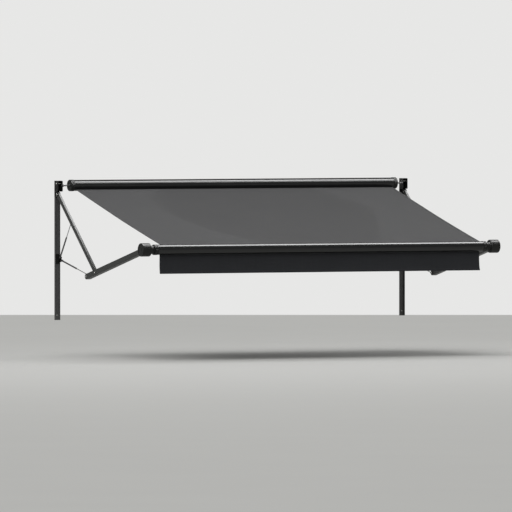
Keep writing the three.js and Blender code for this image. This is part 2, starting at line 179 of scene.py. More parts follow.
class AwningFabric(bpy.types.PropertyGroup):
    """Sizes of the canopy and the valance"""

    thickness: length("Cloth thickness", "Thickness of the canvas", 1.2 * MM)
    sag: length("Sag", "How far the canopy hangs below a straight line", 16 * MM)
    ripple: length("Ripple", "Height of the canopy's tension ripples", 1.6 * MM)
    wave: length("Wave", "How far the valance's lower edge swings to and fro", 4 * MM)
    flare: length("Flare", "How far the valance's lower edge curves out of plumb", 14 * MM)
    side_hem: length("Side hem", "Width of the canopy's side hems", 30 * MM)
    lower_hem: length("Lower hem", "Height of the valance's hem", 34 * MM)
    stitch: length("Stitch", "Length of a stitch with its gap", 9 * MM)
    keder: length("Keder radius", "Radius of the beading in a slot", 3 * MM)
    yarn: length("Yarn spacing", "Spacing of the weave's yarns", 5 * MM)


class AwningHardware(bpy.types.PropertyGroup):
    """Sizes of the fine detail on the frame"""

    edge: length("Pressed edge", "Radius of the arms' and channels' edges", 1.2 * MM)
    cast_edge: length("Cast edge", "Radius of the castings' edges", 1.8 * MM)
    steel_edge: length("Turned edge", "Chamfer of pins and rods", 0.6 * MM)
    slot_mouth: length("Slot mouth", "Width of a keder slot's opening", 10 * MM)
    rib: length("Rib depth", "Depth of the grooves round caps and plugs", 2.2 * MM)


class AwningStage(bpy.types.PropertyGroup):
    """Camera, floor and light"""

    azimuth: angle("Azimuth", "How far the camera stands round to the left", 28.17)
    elevation: angle("Elevation", "How far the camera looks down", 1.16)
    distance: length("Distance", "From the camera to its target", 150.0)
    lens: bpy.props.FloatProperty(
        name="Lens", description="Focal length in millimetres", default=882.7, unit="CAMERA"
    )
    floor_drop: length("Floor drop", "From the channels' feet down to the floor", 0.45)


class AwningSettings(bpy.types.PropertyGroup):
    """Everything that a user would change"""

    colours: bpy.props.PointerProperty(name="Colours", type=AwningColours)
    fabric: bpy.props.PointerProperty(name="Fabric", type=AwningFabric)
    hardware: bpy.props.PointerProperty(name="Hardware", type=AwningHardware)
    stage: bpy.props.PointerProperty(name="Stage", type=AwningStage)


# ---------------------------------------------------------------- finishes

def per_metre(millimetres):
    """A texture's scale for a pattern of this real size."""
    return 1000 / millimetres


def node(tree, kind, inputs=None, **settings):
    """Adds a node. Each input is given a value, or another node's output to link to."""
    made = tree.nodes.new(kind)
    for name, value in settings.items():
        setattr(made, name, value)
    for name, value in (inputs or {}).items():
        if isinstance(value, bpy.types.NodeSocket):
            tree.links.new(value, made.inputs[name])
        else:
            made.inputs[name].default_value = value
    return made


def blank(name):
    """A new material with only a shader and its output."""
    material = bpy.data.materials.new(name)
    material.use_nodes = True
    tree = material.node_tree
    tree.nodes.clear()
    shader = node(tree, "ShaderNodeBsdfPrincipled")
    node(tree, "ShaderNodeOutputMaterial", {"Surface": shader.outputs["BSDF"]})
    return material, tree, shader


def dress(tree, shader, colours, pattern, roughness, height, bump, levels):
    """Links a pattern to colour and roughness and a height to the bump, and sets the levels."""
    mix = {0: pattern, 6: colours[0], 7: colours[1]}
    tint = node(tree, "ShaderNodeMix", mix, data_type="RGBA")
    ends = {"Value": pattern, "To Min": roughness[0], "To Max": roughness[1]}
    rough = node(tree, "ShaderNodeMapRange", ends)
    strength, distance = bump
    relief = {"Height": height, "Strength": strength, "Distance": distance}
    relief = node(tree, "ShaderNodeBump", relief)
    tree.links.new(tint.outputs[2], shader.inputs["Base Color"])
    tree.links.new(rough.outputs["Result"], shader.inputs["Roughness"])
    tree.links.new(relief.outputs["Normal"], shader.inputs["Normal"])
    for level, value in (levels or {}).items():
        shader.inputs[level].default_value = value


def grained(name, colours, roughness, pattern, grain, bump, levels=None, drawn=(1, 1, 1)):
    """A finish whose colour follows one noise, the pattern, and its relief another, the grain.

    Each noise is given by its size in millimetres and its detail. The grain can be drawn out
    some number of times along each axis.
    """
    material, tree, shader = blank(name)
    place = node(tree, "ShaderNodeTexCoord").outputs["Object"]
    stretch = {"Vector": place, "Scale": [1 / times for times in drawn]}
    stretched = node(tree, "ShaderNodeMapping", stretch).outputs["Vector"]
    noises = []
    for vector, (size, detail) in ((place, pattern), (stretched, grain)):
        noise = {"Vector": vector, "Scale": per_metre(size), "Detail": detail}
        noises.append(node(tree, "ShaderNodeTexNoise", noise).outputs["Fac"])
    cloud, height = noises
    dress(tree, shader, colours, cloud, roughness, height, bump, levels)
    return material


def toned(tint, share):
    """A colour made darker or lighter."""
    return [min(1.0, c * share) for c in tint[:3]] + [1.0]


def powder_coat(name, tints):
    """Black polyester powder coat, sprayed and baked: satin, with a fine orange peel."""
    # Real orange peel is about 1 mm across; it is drawn at 3 mm so that it shows.
    return grained(
        name,
        (tints.coat, tints.coat_light),
        roughness=(0.3, 0.46),
        pattern=(90, 4.0),
        grain=(3, 2.0),
        bump=(0.2, 0.12 * MM),
        levels={"IOR": 1.45, "Specular IOR Level": 0.25},
    )


def extrusion(name, colours, roughness, specular, drawn):
    """An extruded finish with faint lines along it, from the mouth of the die."""
    return grained(
        name,
        colours,
        roughness,
        pattern=(160, 4.0),
        grain=(4, 3.0),
        bump=(0.15, 0.06 * MM),
        levels={"IOR": 1.5, "Specular IOR Level": specular},
        drawn=drawn,
    )


def tube_paint(name, tints):
    """Black paint over drawn aluminium: glossier than the coat, with faint lines along the tube."""
    return extrusion(name, (tints.tube, tints.tube_light), (0.16, 0.26), 0.5, (225, 1, 1))


def arm_anodising(name, tints):
    """Black-anodised aluminium: greyer than paint where light grazes it, drawn along the arm."""
    return extrusion(name, (tints.arm, tints.arm_light), (0.3, 0.42), 0.6, (1, 15, 15))


def casting(name, tints):
    """Black-coated die casting: blasted before coating, so it is duller and grained."""
    # Blasted grain of about 1.5 mm, drawn at 5 mm.
    return grained(
        name,
        (tints.casting, tints.casting_light),
        roughness=(0.28, 0.5),
        pattern=(40, 3.0),
        grain=(5, 5.0),
        bump=(0.5, 0.45 * MM),
        levels={"IOR": 1.45, "Specular IOR Level": 0.35},
    )


def metal(name, tint, roughness, rings):
    """Bare or plated steel with the fine grain that turning leaves, of a size in millimetres."""
    return grained(
        name,
        (toned(tint, 0.72), tint),
        roughness,
        pattern=(14, 3.0),
        grain=(rings, 4.0),
        bump=(0.15, 0.2 * MM),
        levels={"Metallic": 1.0},
    )


def zinc_plate(name, tints):
    """Zinc-plated steel, rolled and turned: bright, with a slightly cloudy bloom."""
    return metal(name, tints.steel, (0.22, 0.4), 1.5)


def spring_steel(name, tints):
    """Oiled spring steel: darker and smoother than the plated parts."""
    return metal(name, tints.spring_steel, (0.18, 0.34), 2.0)


def canvas(name, colours):
    """Solution-dyed acrylic canvas in plain weave: matt, furry, with slubs in its yarns."""
    material, tree, shader = blank(name)
    yarn = bpy.context.scene.awning.fabric.yarn
    place = node(tree, "ShaderNodeUVMap", uv_map="cloth").outputs["UV"]
    # A sine band of the wave texture repeats every pi / 10 / scale. The real yarns lie about 1 mm
    # apart, and they are drawn five times as coarse.
    bands = {"Vector": place, "Scale": math.pi / 10 / yarn, "Distortion": 0.6, "Detail": 1.0}
    warp, weft = (
        node(tree, "ShaderNodeTexWave", bands, bands_direction=way).outputs["Fac"] for way in "XY"
    )
    over = node(tree, "ShaderNodeTexChecker", {"Vector": place, "Scale": 1 / yarn}).outputs["Fac"]
    weave = node(tree, "ShaderNodeMix", {0: over, 2: warp, 3: weft}, data_type="FLOAT").outputs[0]
    # Slubs 260 mm long and 9 mm apart run both ways, over clouds 450 mm across.
    long, thin, wide = (per_metre(size) for size in (260, 9, 450))
    noises = []
    for stretch, detail in (((long, thin, 1), 3.0), ((thin, long, 1), 3.0), ((wide,) * 3, 4.0)):
        drawn = node(tree, "ShaderNodeMapping", {"Vector": place, "Scale": stretch}).outputs[0]
        noise = {"Vector": drawn, "Scale": 1.0, "Detail": detail}
        noises.append(node(tree, "ShaderNodeTexNoise", noise).outputs["Fac"])
    *slubs, cloud = noises
    streak = node(tree, "ShaderNodeMath", dict(enumerate(slubs)), operation="MULTIPLY").outputs[0]
    contrast = {0: streak, 1: 1.6, 2: -0.1}
    mottle = node(tree, "ShaderNodeMath", contrast, operation="MULTIPLY_ADD").outputs[0]
    pattern = {0: 0.35, 2: mottle, 3: cloud}
    pattern = node(tree, "ShaderNodeMix", pattern, data_type="FLOAT").outputs[0]
    levels = {"Specular IOR Level": 0.1, "Sheen Weight": 0.04, "Sheen Roughness": 0.5}
    dress(tree, shader, colours, pattern, (0.82, 0.95), weave, (0.35, 0.5 * MM), levels)
    return material


def canopy_canvas(name, tints):
    """The canopy's charcoal canvas."""
    return canvas(name, (tints.canopy, tints.canopy_yarn))


def valance_canvas(name, tints):
    """The valance's near-black canvas."""
    return canvas(name, (tints.valance, tints.valance_yarn))


def thread(name, tints):
    """Twisted polyester thread: a soft shine and a fine twist."""
    twist = (0.8, 2.0)
    colours = (toned(tints.thread, 0.6), tints.thread)
    return grained(name, colours, (0.45, 0.7), twist, twist, (0.4, 0.2 * MM))


def keder_vinyl(name, tints):
    """Extruded vinyl beading: smooth and slightly shiny."""
    skin = (6, 3.0)
    colours = (tints.keder, toned(tints.keder, 1.6))
    return grained(name, colours, (0.3, 0.5), skin, skin, (0.1, 0.2 * MM))


def floor_screed(name, tints):
    """Plain pale screed: matt and faintly clouded."""
    cloud = (1500, 3.0)
    colours = (toned(tints.floor, 0.96), tints.floor)
    return grained(name, colours, (0.8, 0.9), cloud, cloud, (0.05, MM))


# Each finish by its short name: its material, what makes it, and its pieces' slot
FINISHES = {
    "coat": ("black_powder_coat", powder_coat, "black_powder_coat"),
    "tube": ("black_painted_extrusion", tube_paint, "black_powder_coat"),
    "arm": ("black_anodised_extrusion", arm_anodising, "black_powder_coat"),
    "casting": ("black_die_casting", casting, "black_casting"),
    "zinc": ("zinc_plated_steel", zinc_plate, "bright_steel"),
    "spring": ("oiled_spring_steel", spring_steel, "dark_steel"),
    "canopy": ("charcoal_acrylic_canvas", canopy_canvas, "canopy_fabric"),
    "valance": ("black_acrylic_canvas", valance_canvas, "valance_fabric"),
    "thread": ("polyester_thread", thread, None),
    "keder": ("black_vinyl_beading", keder_vinyl, None),
    "floor": ("pale_screed", floor_screed, None),
}


def finish(key):
    """A finish by its short name, made the first time that it is asked for."""
    name, make = FINISHES[key][:2]
    return bpy.data.materials.get(name) or make(name, bpy.context.scene.awning.colours)


# ---------------------------------------------------------------- shaping

# Points nearer than this are one: the CAD's facets, a shape's own points, and a whole piece's.
CAD_WELD, WELD, PIECE_WELD = 1e-5, 1e-6, 1e-7
SHARP = math.radians(35)
SHADED_SHARP = math.radians(38)
FLAT = math.radians(1)
FULL_TURN = 2 * math.pi


def soften(bm, width):
    """Rounds every sharp edge."""
    bmesh.ops.remove_doubles(bm, verts=bm.verts[:], dist=WELD)
    edges = [e for e in bm.edges if len(e.link_faces) == 2 and e.calc_face_angle(0) > SHARP]
    rounding = {"offset_type": "OFFSET", "affect": "EDGES", "segments": 2, "profile": 0.5}
    bmesh.ops.bevel(bm, geom=edges, offset=width, material=-1, clamp_overlap=True, **rounding)


def refined(cad_node, width):
    """A copy of a CAD node with its flat faces joined up and its edges rounded."""
    bm = bmesh.new()
    bm.from_mesh(frame["nodes"][cad_node].data)
    bmesh.ops.remove_doubles(bm, verts=bm.verts[:], dist=CAD_WELD)
    bmesh.ops.dissolve_limit(bm, angle_limit=FLAT, verts=bm.verts[:], edges=bm.edges[:])
    soften(bm, width)
    return bm


def turned(profile, ring=False, segments=48):
    """A profile of (radius, place along X) points turned about X; a ring closes on itself."""
    bm = bmesh.new()
    points = [bm.verts.new((along, 0, radius)) for radius, along in profile]
    edges = [bm.edges.new(pair) for pair in zip(points, points[1:])]
    if ring:
        edges.append(bm.edges.new((points[-1], points[0])))
    about_x = {"cent": (0, 0, 0), "axis": (1, 0, 0), "angle": FULL_TURN, "steps": segments}
    bmesh.ops.spin(bm, geom=points + edges, use_merge=True, **about_x)
    bmesh.ops.remove_doubles(bm, verts=bm.verts[:], dist=WELD)
    bmesh.ops.recalc_face_normals(bm, faces=bm.faces[:])
    return bm


def block(low, high, edge):
    """A box between two corners, with rounded edges."""
    low, high = Vector(low), Vector(high)
    bm = bmesh.new()
    size = Matrix.Diagonal((*(high - low), 1))
    bmesh.ops.create_cube(bm, size=1, matrix=Matrix.Translation((low + high) / 2) @ size)
    soften(bm, edge)
    return bm


def groove(bm, count, depth, low, high):
    """Cuts even grooves round a turned piece, along X from low to high."""
    edge, groove_share = 0.125, 0.5
    for vert in bm.verts:
        if low < vert.co.x < high:
            grooves = math.atan2(vert.co.z, vert.co.y) / FULL_TURN * count
            if (grooves + edge) % 1 > groove_share:
                radius = math.hypot(vert.co.y, vert.co.z)
                vert.co.yz = vert.co.yz * (1 - depth / radius)


def put(target, part, place):
    """Adds one closed shape to a piece, in its place."""
    part.transform(place)
    bmesh.ops.recalc_face_normals(part, faces=part.faces[:])
    shape = bpy.data.meshes.new("part")
    part.to_mesh(shape)
    part.free()
    target.from_mesh(shape)
    bpy.data.meshes.remove(shape)


def rib(target, start, end, out, size):
    """Adds a raised bar of some width and height on a face that looks out along X (-1 or +1)."""
    width, height = size
    way = (end - start).normalized()
    face = Vector((out, 0, 0))
    turn = Matrix((way, face.cross(way), face)).transposed().to_4x4()
    low = (0, -width / 2, -height)
    high = ((end - start).length, width / 2, height)
    put(target, block(low, high, height * 0.4), Matrix.Translation(start) @ turn)


def outboard(side, point):
    """A place at a point, with +X pointing away from the middle of the awning."""
    return Matrix.Translation(point) @ Matrix.Diagonal((side, 1, 1, 1))


def towards(start, end):
    """A place at one point, with +X pointing to another."""
    turn = (end - start).to_track_quat("X", "Z").to_matrix().to_4x4()
    return Matrix.Translation(start) @ turn


def along_arm(start, end):
    """A place at one point with +Y pointing to another, both at the same X."""
    way = (end - start).normalized()
    turn = Matrix(((1, 0, 0), (0, way.y, -way.z), (0, way.z, way.y))).to_4x4()
    return Matrix.Translation(start) @ turn


def make_piece(bm, name, body, key, stands_for=(), sheet=False):
    """Turns a shape into a shaded piece that rides on a body and stands for CAD nodes."""
    bmesh.ops.remove_doubles(bm, verts=bm.verts[:], dist=PIECE_WELD)
    if not sheet and any(len(edge.link_faces) != 2 for edge in bm.edges):
        raise RuntimeError(f"{name} isn't closed")
    for face in bm.faces:
        face.smooth = True
    for edge in bm.edges:
        edge.smooth = edge.calc_face_angle(0) < SHADED_SHARP
    mesh = bpy.data.meshes.new(name)
    bm.to_mesh(mesh)
    bm.free()
    mesh.materials.append(finish(key))
    piece = bpy.data.objects.new(name, mesh)
    bpy.context.scene.collection.objects.link(piece)
    if not sheet:
        even = piece.modifiers.new("Even normals", "WEIGHTED_NORMAL")
        even.keep_sharp = True
    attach(piece, body)
    if stands_for:
        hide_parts(*stands_for)
    return piece


def finished(cad_node, bm, body, key):
    """A piece that stands for one CAD node."""
    return make_piece(bm, cad_node + "_finished", body, key, [cad_node])


def assembled(cad_node, body, key, *parts):
    """A piece for one CAD node, made of closed shapes, each with its place."""
    bm = bmesh.new()
    for part, place in parts:
        put(bm, part, place)
    finished(cad_node, bm, body, key)


# ---------------------------------------------------------------- wall fixings and rear tube

# How high a pin's head stands, on the arms and brackets and on the lower brackets' lugs
PIN_HEAD, LUG_PIN_HEAD = 7.7 * MM, 6.7 * MM


def headed(total, shank, head, rise, socket, edge):
    """A bolt along +X from its tip: shank, round head and a round socket in the head."""
    seat = total - rise
    socket_floor = total - rise * 0.5
    profile = [
        (0, 0), (shank - edge, 0), (shank, edge), (shank, seat), (head - edge, seat),
        (head, seat + edge), (head, total - rise * 0.45), (head * 0.9, total - rise * 0.2),
        (head * 0.68, total), (socket, total), (socket, socket_floor), (0, socket_floor),
    ]
    return turned(profile, segments=32)


def screw(cad_node):
    """A pan-head screw with its head towards the room."""
    low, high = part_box(cad_node)
    tip = centre(cad_node)
    tip.y = high.y
    shank, rise, socket, edge = 4 * MM, 5.2 * MM, 3 * MM, 0.5 * MM
    shape = headed(high.y - low.y, shank, (high.x - low.x) / 2, rise, socket, edge)
    place = Matrix.Translation(tip) @ Matrix.Rotation(-math.pi / 2, 4, "Z")
    assembled(cad_node, "root", "zinc", (shape, place))


def pin(cad_node, body, direction, rise=PIN_HEAD):
    """A headed pin along X; direction is +1 where its head is at the higher X."""
    low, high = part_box(cad_node)
    tip = centre(cad_node)
    tip.x = edge_x(cad_node, -direction)
    shank, socket = 6 * MM, 4 * MM
    edge = bpy.context.scene.awning.hardware.steel_edge
    shape = headed(high.x - low.x, shank, (high.z - low.z) / 2, rise, socket, edge)
    assembled(cad_node, body, "zinc", (shape, outboard(direction, tip)))


def top_bracket(hand, side, sizes):
    """Cast bracket with a rim and crossed ribs on the outside of its ears."""
    name = hand + "_top_bracket"
    low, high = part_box(name)
    bm = refined(name, sizes.cast_edge)
    side_margin, top_margin, ribbed = 7 * MM, 6 * MM, 118 * MM
    front, back = low.y + side_margin, high.y - side_margin
    top = high.z - top_margin
    foot = top - ribbed
    for out, bolt_room in ((side, 56 * MM), (-side, 76 * MM)):
        x = edge_x(name, out)
        places = ((front, foot), (back, foot), (back, top), (front, top))
        corner = [Vector((x, y, z)) for y, z in places]
        cross_front, cross_back = (Vector((x, y, top - bolt_room)) for y in (front, back))
        lines = [(corner[0], cross_back), (cross_front, corner[1]), corner[1:3]]
        if out == side:
            lines += [corner[2:4], (corner[3], corner[0]), corner[:2]]
        for start, end in lines:
            rib(bm, start, end, out, (5 * MM, 2 * MM))
    finished(name, bm, "root", "casting")


class AWNING_OT_wall_fixings(bpy.types.Operator):
    """Wall channels, brackets and the screws that hold them"""

    bl_idname = "awning.wall_fixings"
    bl_label = "Wall fixings"

    def execute(self, context):
        sizes = context.scene.awning.hardware
        for hand, side in SIDES:
            channel, lower = hand + "_wall_channel", hand + "_lower_bracket"
            finished(channel, refined(channel, sizes.edge), "root", "coat")
            top_bracket(hand, side, sizes)
            finished(lower, refined(lower, sizes.cast_edge), "root", "casting")
            screw(hand + "_bracket_screw")
            screw(hand + "_foot_screw")
            pin(hand + "_tie_bolt", "root", side)
        return {"FINISHED"}


def slotted_outline(radius, slots, mouth):
    """Points (y, z) round a tube with a keder slot at each angle, undercut behind its mouth."""
    step = 4
    half = math.degrees(mouth / 2 / radius)
    wide = half * 1.35
    lip = radius - 1.2 * MM
    undercut = lip - 0.8 * MM
    floor = radius - SLOT_DEPTH
    points = []
    for i, slot in enumerate(slots):
        points += [
            polar(slot - half, radius),
            polar(slot - half, lip),
            polar(slot - wide, undercut),
            polar(slot - wide, floor),
            polar(slot + wide, floor),
            polar(slot + wide, undercut),
            polar(slot + half, lip),
        ]
        following = slots[i + 1] if i + 1 < len(slots) else slots[0] + 360
        land = following - half - slot - half
        count = round(land / step)
        points += [polar(slot + half + land * j / count, radius) for j in range(count)]
    return points


def slotted_tube(cad_node, axis, radius, slots, body):
    """A round tube with keder slots, open at both ends."""
    mouth = bpy.context.scene.awning.hardware.slot_mouth
    low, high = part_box(cad_node)
    bm = bmesh.new()
    rims = []
    bore_step = 5
    bore = [polar(angle, radius - TUBE_WALL) for angle in range(0, 360, bore_step)]
    for loop in (slotted_outline(radius, slots, mouth), bore):
        verts = [bm.verts.new((low.x, *(axis + point))) for point in loop]
        rims += [bm.edges.new(pair) for pair in zip(verts, verts[1:] + verts[:1])]
    wall = bmesh.ops.bridge_loops(bm, edges=rims)["faces"]
    grown = bmesh.ops.extrude_face_region(bm, geom=wall)["geom"]
    moved = [v for v in grown if isinstance(v, bmesh.types.BMVert)]
    bmesh.ops.translate(bm, verts=moved, vec=(high.x - low.x, 0, 0))
    bmesh.ops.recalc_face_normals(bm, faces=bm.faces[:])
    finished(cad_node, bm, body, "tube")


def rear_spindle(hand, side, sizes):
    """The rod that carries the rear tube's end, with its collar and lock nut by the bracket."""
    name = hand + "_rear_spindle"
    low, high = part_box(name)
    total = high.x - low.x
    rod, collar = 9 * MM, (high.z - low.z) / 2
    seat = total - 12.3 * MM
    profile = [
        (0, 0), (rod, 0), (rod, seat - 15.7 * MM), (collar, seat - 15.7 * MM),
        (collar, seat - 9 * MM), (collar - 2 * MM, seat - 8 * MM),
        (collar - 2 * MM, seat - 7 * MM), (collar, seat - 6 * MM), (collar, seat), (rod, seat),
        (rod, total), (0, total),
    ]
    shape = turned(profile, segments=36)
    soften(shape, sizes.steel_edge)
    start = Vector((edge_x(name, -side), *REAR_AXIS))
    assembled(name, "root", "coat", (shape, outboard(side, start)))


def end_measures(name, tube, side):
    """Where a tube ends along X, how far its end piece stands out beyond that, and its radius."""
    low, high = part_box(name)
    face = edge_x(tube, side)
    return face, side * (edge_x(name, side) - face), (high.z - low.z) / 2


def plug_in(tube_radius, bore, depth, rim):
    """The profile of an end piece from its bore's inner end to the foot of its rim."""
    plug = tube_radius - TUBE_WALL - 0.5 * MM
    step = 0.3 * MM
    return [(bore, -depth), (plug, -depth), (plug, step), (rim, step)]


def rear_end_cap(hand, side, sizes):
    """Grooved cap that plugs the rear tube and turns about the spindle."""
    name = hand + "_rear_end_cap"
    face, drum, rim = end_measures(name, "rear_tube", side)
    bore = 9.3 * MM
    profile = [
        *plug_in(REAR_RADIUS, bore, 36 * MM, rim), (rim, 6 * MM),
        (rim, 7.5 * MM), (rim, drum - 14 * MM), (rim, drum - 12.5 * MM), (rim, drum - 5 * MM),
        (rim - 1.5 * MM, drum - 1.5 * MM), (rim - 5 * MM, drum), (rim * 0.62, drum),
        (rim * 0.56, drum - 3 * MM), (rim * 0.3, drum - 3 * MM), (rim * 0.27, drum),
        (bore, drum),
    ]
    shape = turned(profile, ring=True, segments=120)
    groove(shape, 30, sizes.rib, 7 * MM, drum - 13 * MM)
    place = outboard(side, Vector((face, *REAR_AXIS)))
    assembled(name, "root", "casting", (shape, place))


class AWNING_OT_rear_tube(bpy.types.Operator):
    """Rear tube with its end caps and spindles"""

    bl_idname = "awning.rear_tube"
    bl_label = "Rear tube"

    def execute(self, context):
        sizes = context.scene.awning.hardware
        slotted_tube("rear_tube", REAR_AXIS, REAR_RADIUS, REAR_SLOTS, "root")
        for hand, side in SIDES:
            rear_spindle(hand, side, sizes)
            rear_end_cap(hand, side, sizes)
        return {"FINISHED"}


# ---------------------------------------------------------------- arms, links and struts

def arm(name, start, end, offset, size, outs):
    """An arm's bar with rounded edges, and two raised lines along each side that faces outs.

    The lines lie at an offset on both sides of the arm's middle and stop short of its ends.
    """
    margin = 75 * MM
    way = (end - start).normalized()
    bm = refined(name, bpy.context.scene.awning.hardware.edge)
    for out in outs:
        x = edge_x(name, out)
        near = Vector((x, start.y, start.z)) + way * margin
        far = Vector((x, end.y, end.z)) - way * margin
        up = Vector((1, 0, 0)).cross((far - near).normalized())
        for away in (-offset, offset):
            rib(bm, near + up * away, far + up * away, out, size)
    finished(name, bm, name, "arm")


class AWNING_OT_arms(bpy.types.Operator):
    """Upper and outer arms with their pivot pins"""

    bl_idname = "awning.arms"
    bl_label = "Arms"

    def execute(self, context):
        for hand, side in SIDES:
            upper, outer = hand + "_upper_arm", hand + "_outer_arm"
            elbow = PIVOTS[hand + "_elbow"]
            pivot, tail, head = (
                Vector((elbow.x, *place))
                for place in (
                    across(PIVOTS["awning_fold"]),
                    across(centre(hand + "_tail_bolt")),
                    ROLLER_AXIS,
                )
            )
            arm(upper, pivot, elbow, 18 * MM, (9 * MM, 1.2 * MM), (-1, 1))
            arm(outer, tail, head, 26 * MM, (5 * MM, 1.6 * MM), (side,))
            pin(hand + "_upper_arm_pin", "root", side)
            pin(hand + "_elbow_pin", outer, side)
            pin(hand + "_tail_bolt", outer, side)
        return {"FINISHED"}


EYE_HOLE = 6.3 * MM


def eye(radius, half):
    """A ring about X for a pin, reaching half its width to each side."""
    edge = 1.2 * MM
    profile = [
        (EYE_HOLE, -half), (radius - edge, -half), (radius, -half + edge),
        (radius, half - edge), (radius - edge, half), (EYE_HOLE, half),
    ]
    return turned(profile, ring=True, segments=36)


def lower_link(hand):
    """Link tube with its eye at the wall, a clamp collar, and the rod that comes out of it."""
    name = hand + "_lower_link"
    x = centre(name).x
    wall_eye = Vector((x, *across(PIVOTS[hand + "_link_swing"])))
    tail = Vector((x, *across(centre(hand + "_tail_bolt"))))
    way = towards(wall_eye, tail)
    total = (tail - wall_eye).length
    tube_end = total / 2
    bore, tube, collar = 5.3 * MM, 9 * MM, 10 * MM
    profile = [
        (bore, 12 * MM), (tube, 12 * MM), (tube, tube_end - 20 * MM),
        (collar, tube_end - 18 * MM), (collar, tube_end - 10 * MM),
        (9.3 * MM, tube_end - 9 * MM), (collar, tube_end - 8 * MM), (collar, tube_end - 1 * MM),
        (9.2 * MM, tube_end), (bore, tube_end),
    ]
    wall_end = (eye(13 * MM, 9 * MM), Matrix.Translation(wall_eye))
    shape = turned(profile, ring=True, segments=32)
    assembled(name, name, "coat", wall_end, (shape, way))

    start = tube_end - 50 * MM
    rod, ferrule = 5 * MM, 7 * MM
    bar = [
        (0, start), (4.4 * MM, start), (rod, start + 0.6 * MM), (rod, total - 26 * MM),
        (ferrule, total - 25 * MM), (ferrule, total - 10 * MM), (0, total - 10 * MM),
    ]
    arm_end = (eye(12 * MM, 8 * MM), Matrix.Translation(tail))
    shape = turned(bar, segments=28)
    assembled(hand + "_link_rod", name, "zinc", (shape, way), arm_end)


def gas_strut(hand, side, sizes):
    """Gas strut: cylinder with rolled end and eye, and a polished rod with the stud in the arm."""
    cylinder, rod = hand + "_strut_cylinder", hand + "_strut_rod"
    low_eye = Vector((centre(cylinder).x, *across(PIVOTS[hand + "_strut_swing"])))
    low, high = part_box(rod)
    stud = 7 * MM
    high_eye = Vector((low_eye.x, low.y + stud, high.z - stud))
    way = towards(low_eye, high_eye)
    total = (high_eye - low_eye).length
    barrel, radius, neck = 288 * MM, 9 * MM, 6 * MM
    profile = [
        (0, 24 * MM), (7 * MM, 24 * MM), (7 * MM, barrel), (7.4 * MM, barrel),
        (8.6 * MM, barrel - 2 * MM), (radius, barrel - 7 * MM), (8.4 * MM, barrel - 8 * MM),
        (radius, barrel - 9 * MM), (radius, 19 * MM), (neck, 16 * MM), (neck, 9 * MM),
        (0, 9 * MM),
    ]
    foot = (eye(11 * MM, 8 * MM), Matrix.Translation(low_eye))
    shape = turned(profile, segments=32)
    assembled(cylinder, cylinder, "coat", foot, (shape, way))

    rod_length, piston, bar, tip = 262 * MM, 6.5 * MM, 4 * MM, 5.6 * MM
    start = total - rod_length
    profile = [
        (0, start), (piston, start), (piston, start + 12 * MM), (bar, start + 13 * MM),
        (bar, total - 14 * MM), (tip, total - 13 * MM), (tip, total), (0, total),
    ]
    inner, outer = -8 * MM, 12.4 * MM
    cross = turned([(0, inner), (stud, inner), (stud, outer), (0, outer)], segments=28)
    soften(cross, sizes.steel_edge)
    shape = turned(profile, segments=28)
    assembled(rod, rod, "spring", (shape, way), (cross, outboard(side, high_eye)))


class AWNING_OT_links(bpy.types.Operator):
    """Lower links and gas struts with the pins in their brackets"""

    bl_idname = "awning.links"
    bl_label = "Links and struts"

    def execute(self, context):
        sizes = context.scene.awning.hardware
        for hand, side in SIDES:
            lower_link(hand)
            gas_strut(hand, side, sizes)
            pin(hand + "_link_pin", "root", -side, LUG_PIN_HEAD)
            pin(hand + "_strut_pin", "root", -side, LUG_PIN_HEAD)
        return {"FINISHED"}


# ---------------------------------------------------------------- roller and its heads

# The shaft's bore in the heads and plugs
SHAFT_BORE = 12.3 * MM


def head_housing(hand, side, sizes):
    """Cast drum on the end of the arm, with a neck towards the roller and a tongue in the arm."""
    arm_x = centre(hand + "_wall_channel").x
    axis = Vector((arm_x, *ROLLER_AXIS))
    radius = half_size(hand + "_head_cover").z
    half, neck_end, corner, rim = 58 * MM, 106 * MM, 14 * MM, 9 * MM
    neck, waist = 50 * MM, 47 * MM
    lip, floor = half - 8 * MM, -half + 10 * MM
    ridge_end, ridge_foot, grooved = 32 * MM, 34 * MM, 33 * MM
    steps = 6
    round_corner = [
        (radius - corner + corner * math.sin(a), -half + corner - corner * math.cos(a))
        for a in (i * math.pi / 2 / steps for i in range(steps + 1))
    ]
    profile = [
        (SHAFT_BORE, -neck_end), (46 * MM, -neck_end), (neck, -neck_end + 3 * MM),
        (neck, -neck_end + 12 * MM), (waist, -neck_end + 14 * MM), (waist, -neck_end + 22 * MM),
        (neck, -neck_end + 24 * MM), (neck, -half - 6 * MM), (54 * MM, -half),
        *round_corner,
        (radius, -ridge_foot), (radius, -ridge_end), (radius, ridge_end), (radius, ridge_foot),
        (radius, lip), (radius - rim, lip), (radius - rim, floor), (SHAFT_BORE, floor),
    ]
    drum = turned(profile, ring=True, segments=96)
    groove(drum, 24, sizes.rib * 0.5, -grooved, grooved)
    inside, reach, under, over = 24.6 * MM, 190 * MM, 24 * MM, 30.6 * MM
    low, high = (-inside, -reach, -under), (inside, -radius + 7 * MM, over)
    elbow = Vector((arm_x, *across(PIVOTS[hand + "_elbow"])))
    in_arm = along_arm(elbow, axis) @ Matrix.Translation((0, (axis - elbow).length, 0))
    assembled(
        hand + "_head_housing",
        hand + "_outer_arm",
        "casting",
        (drum, outboard(side, axis)),
        (block(low, high, sizes.cast_edge), in_arm),
    )


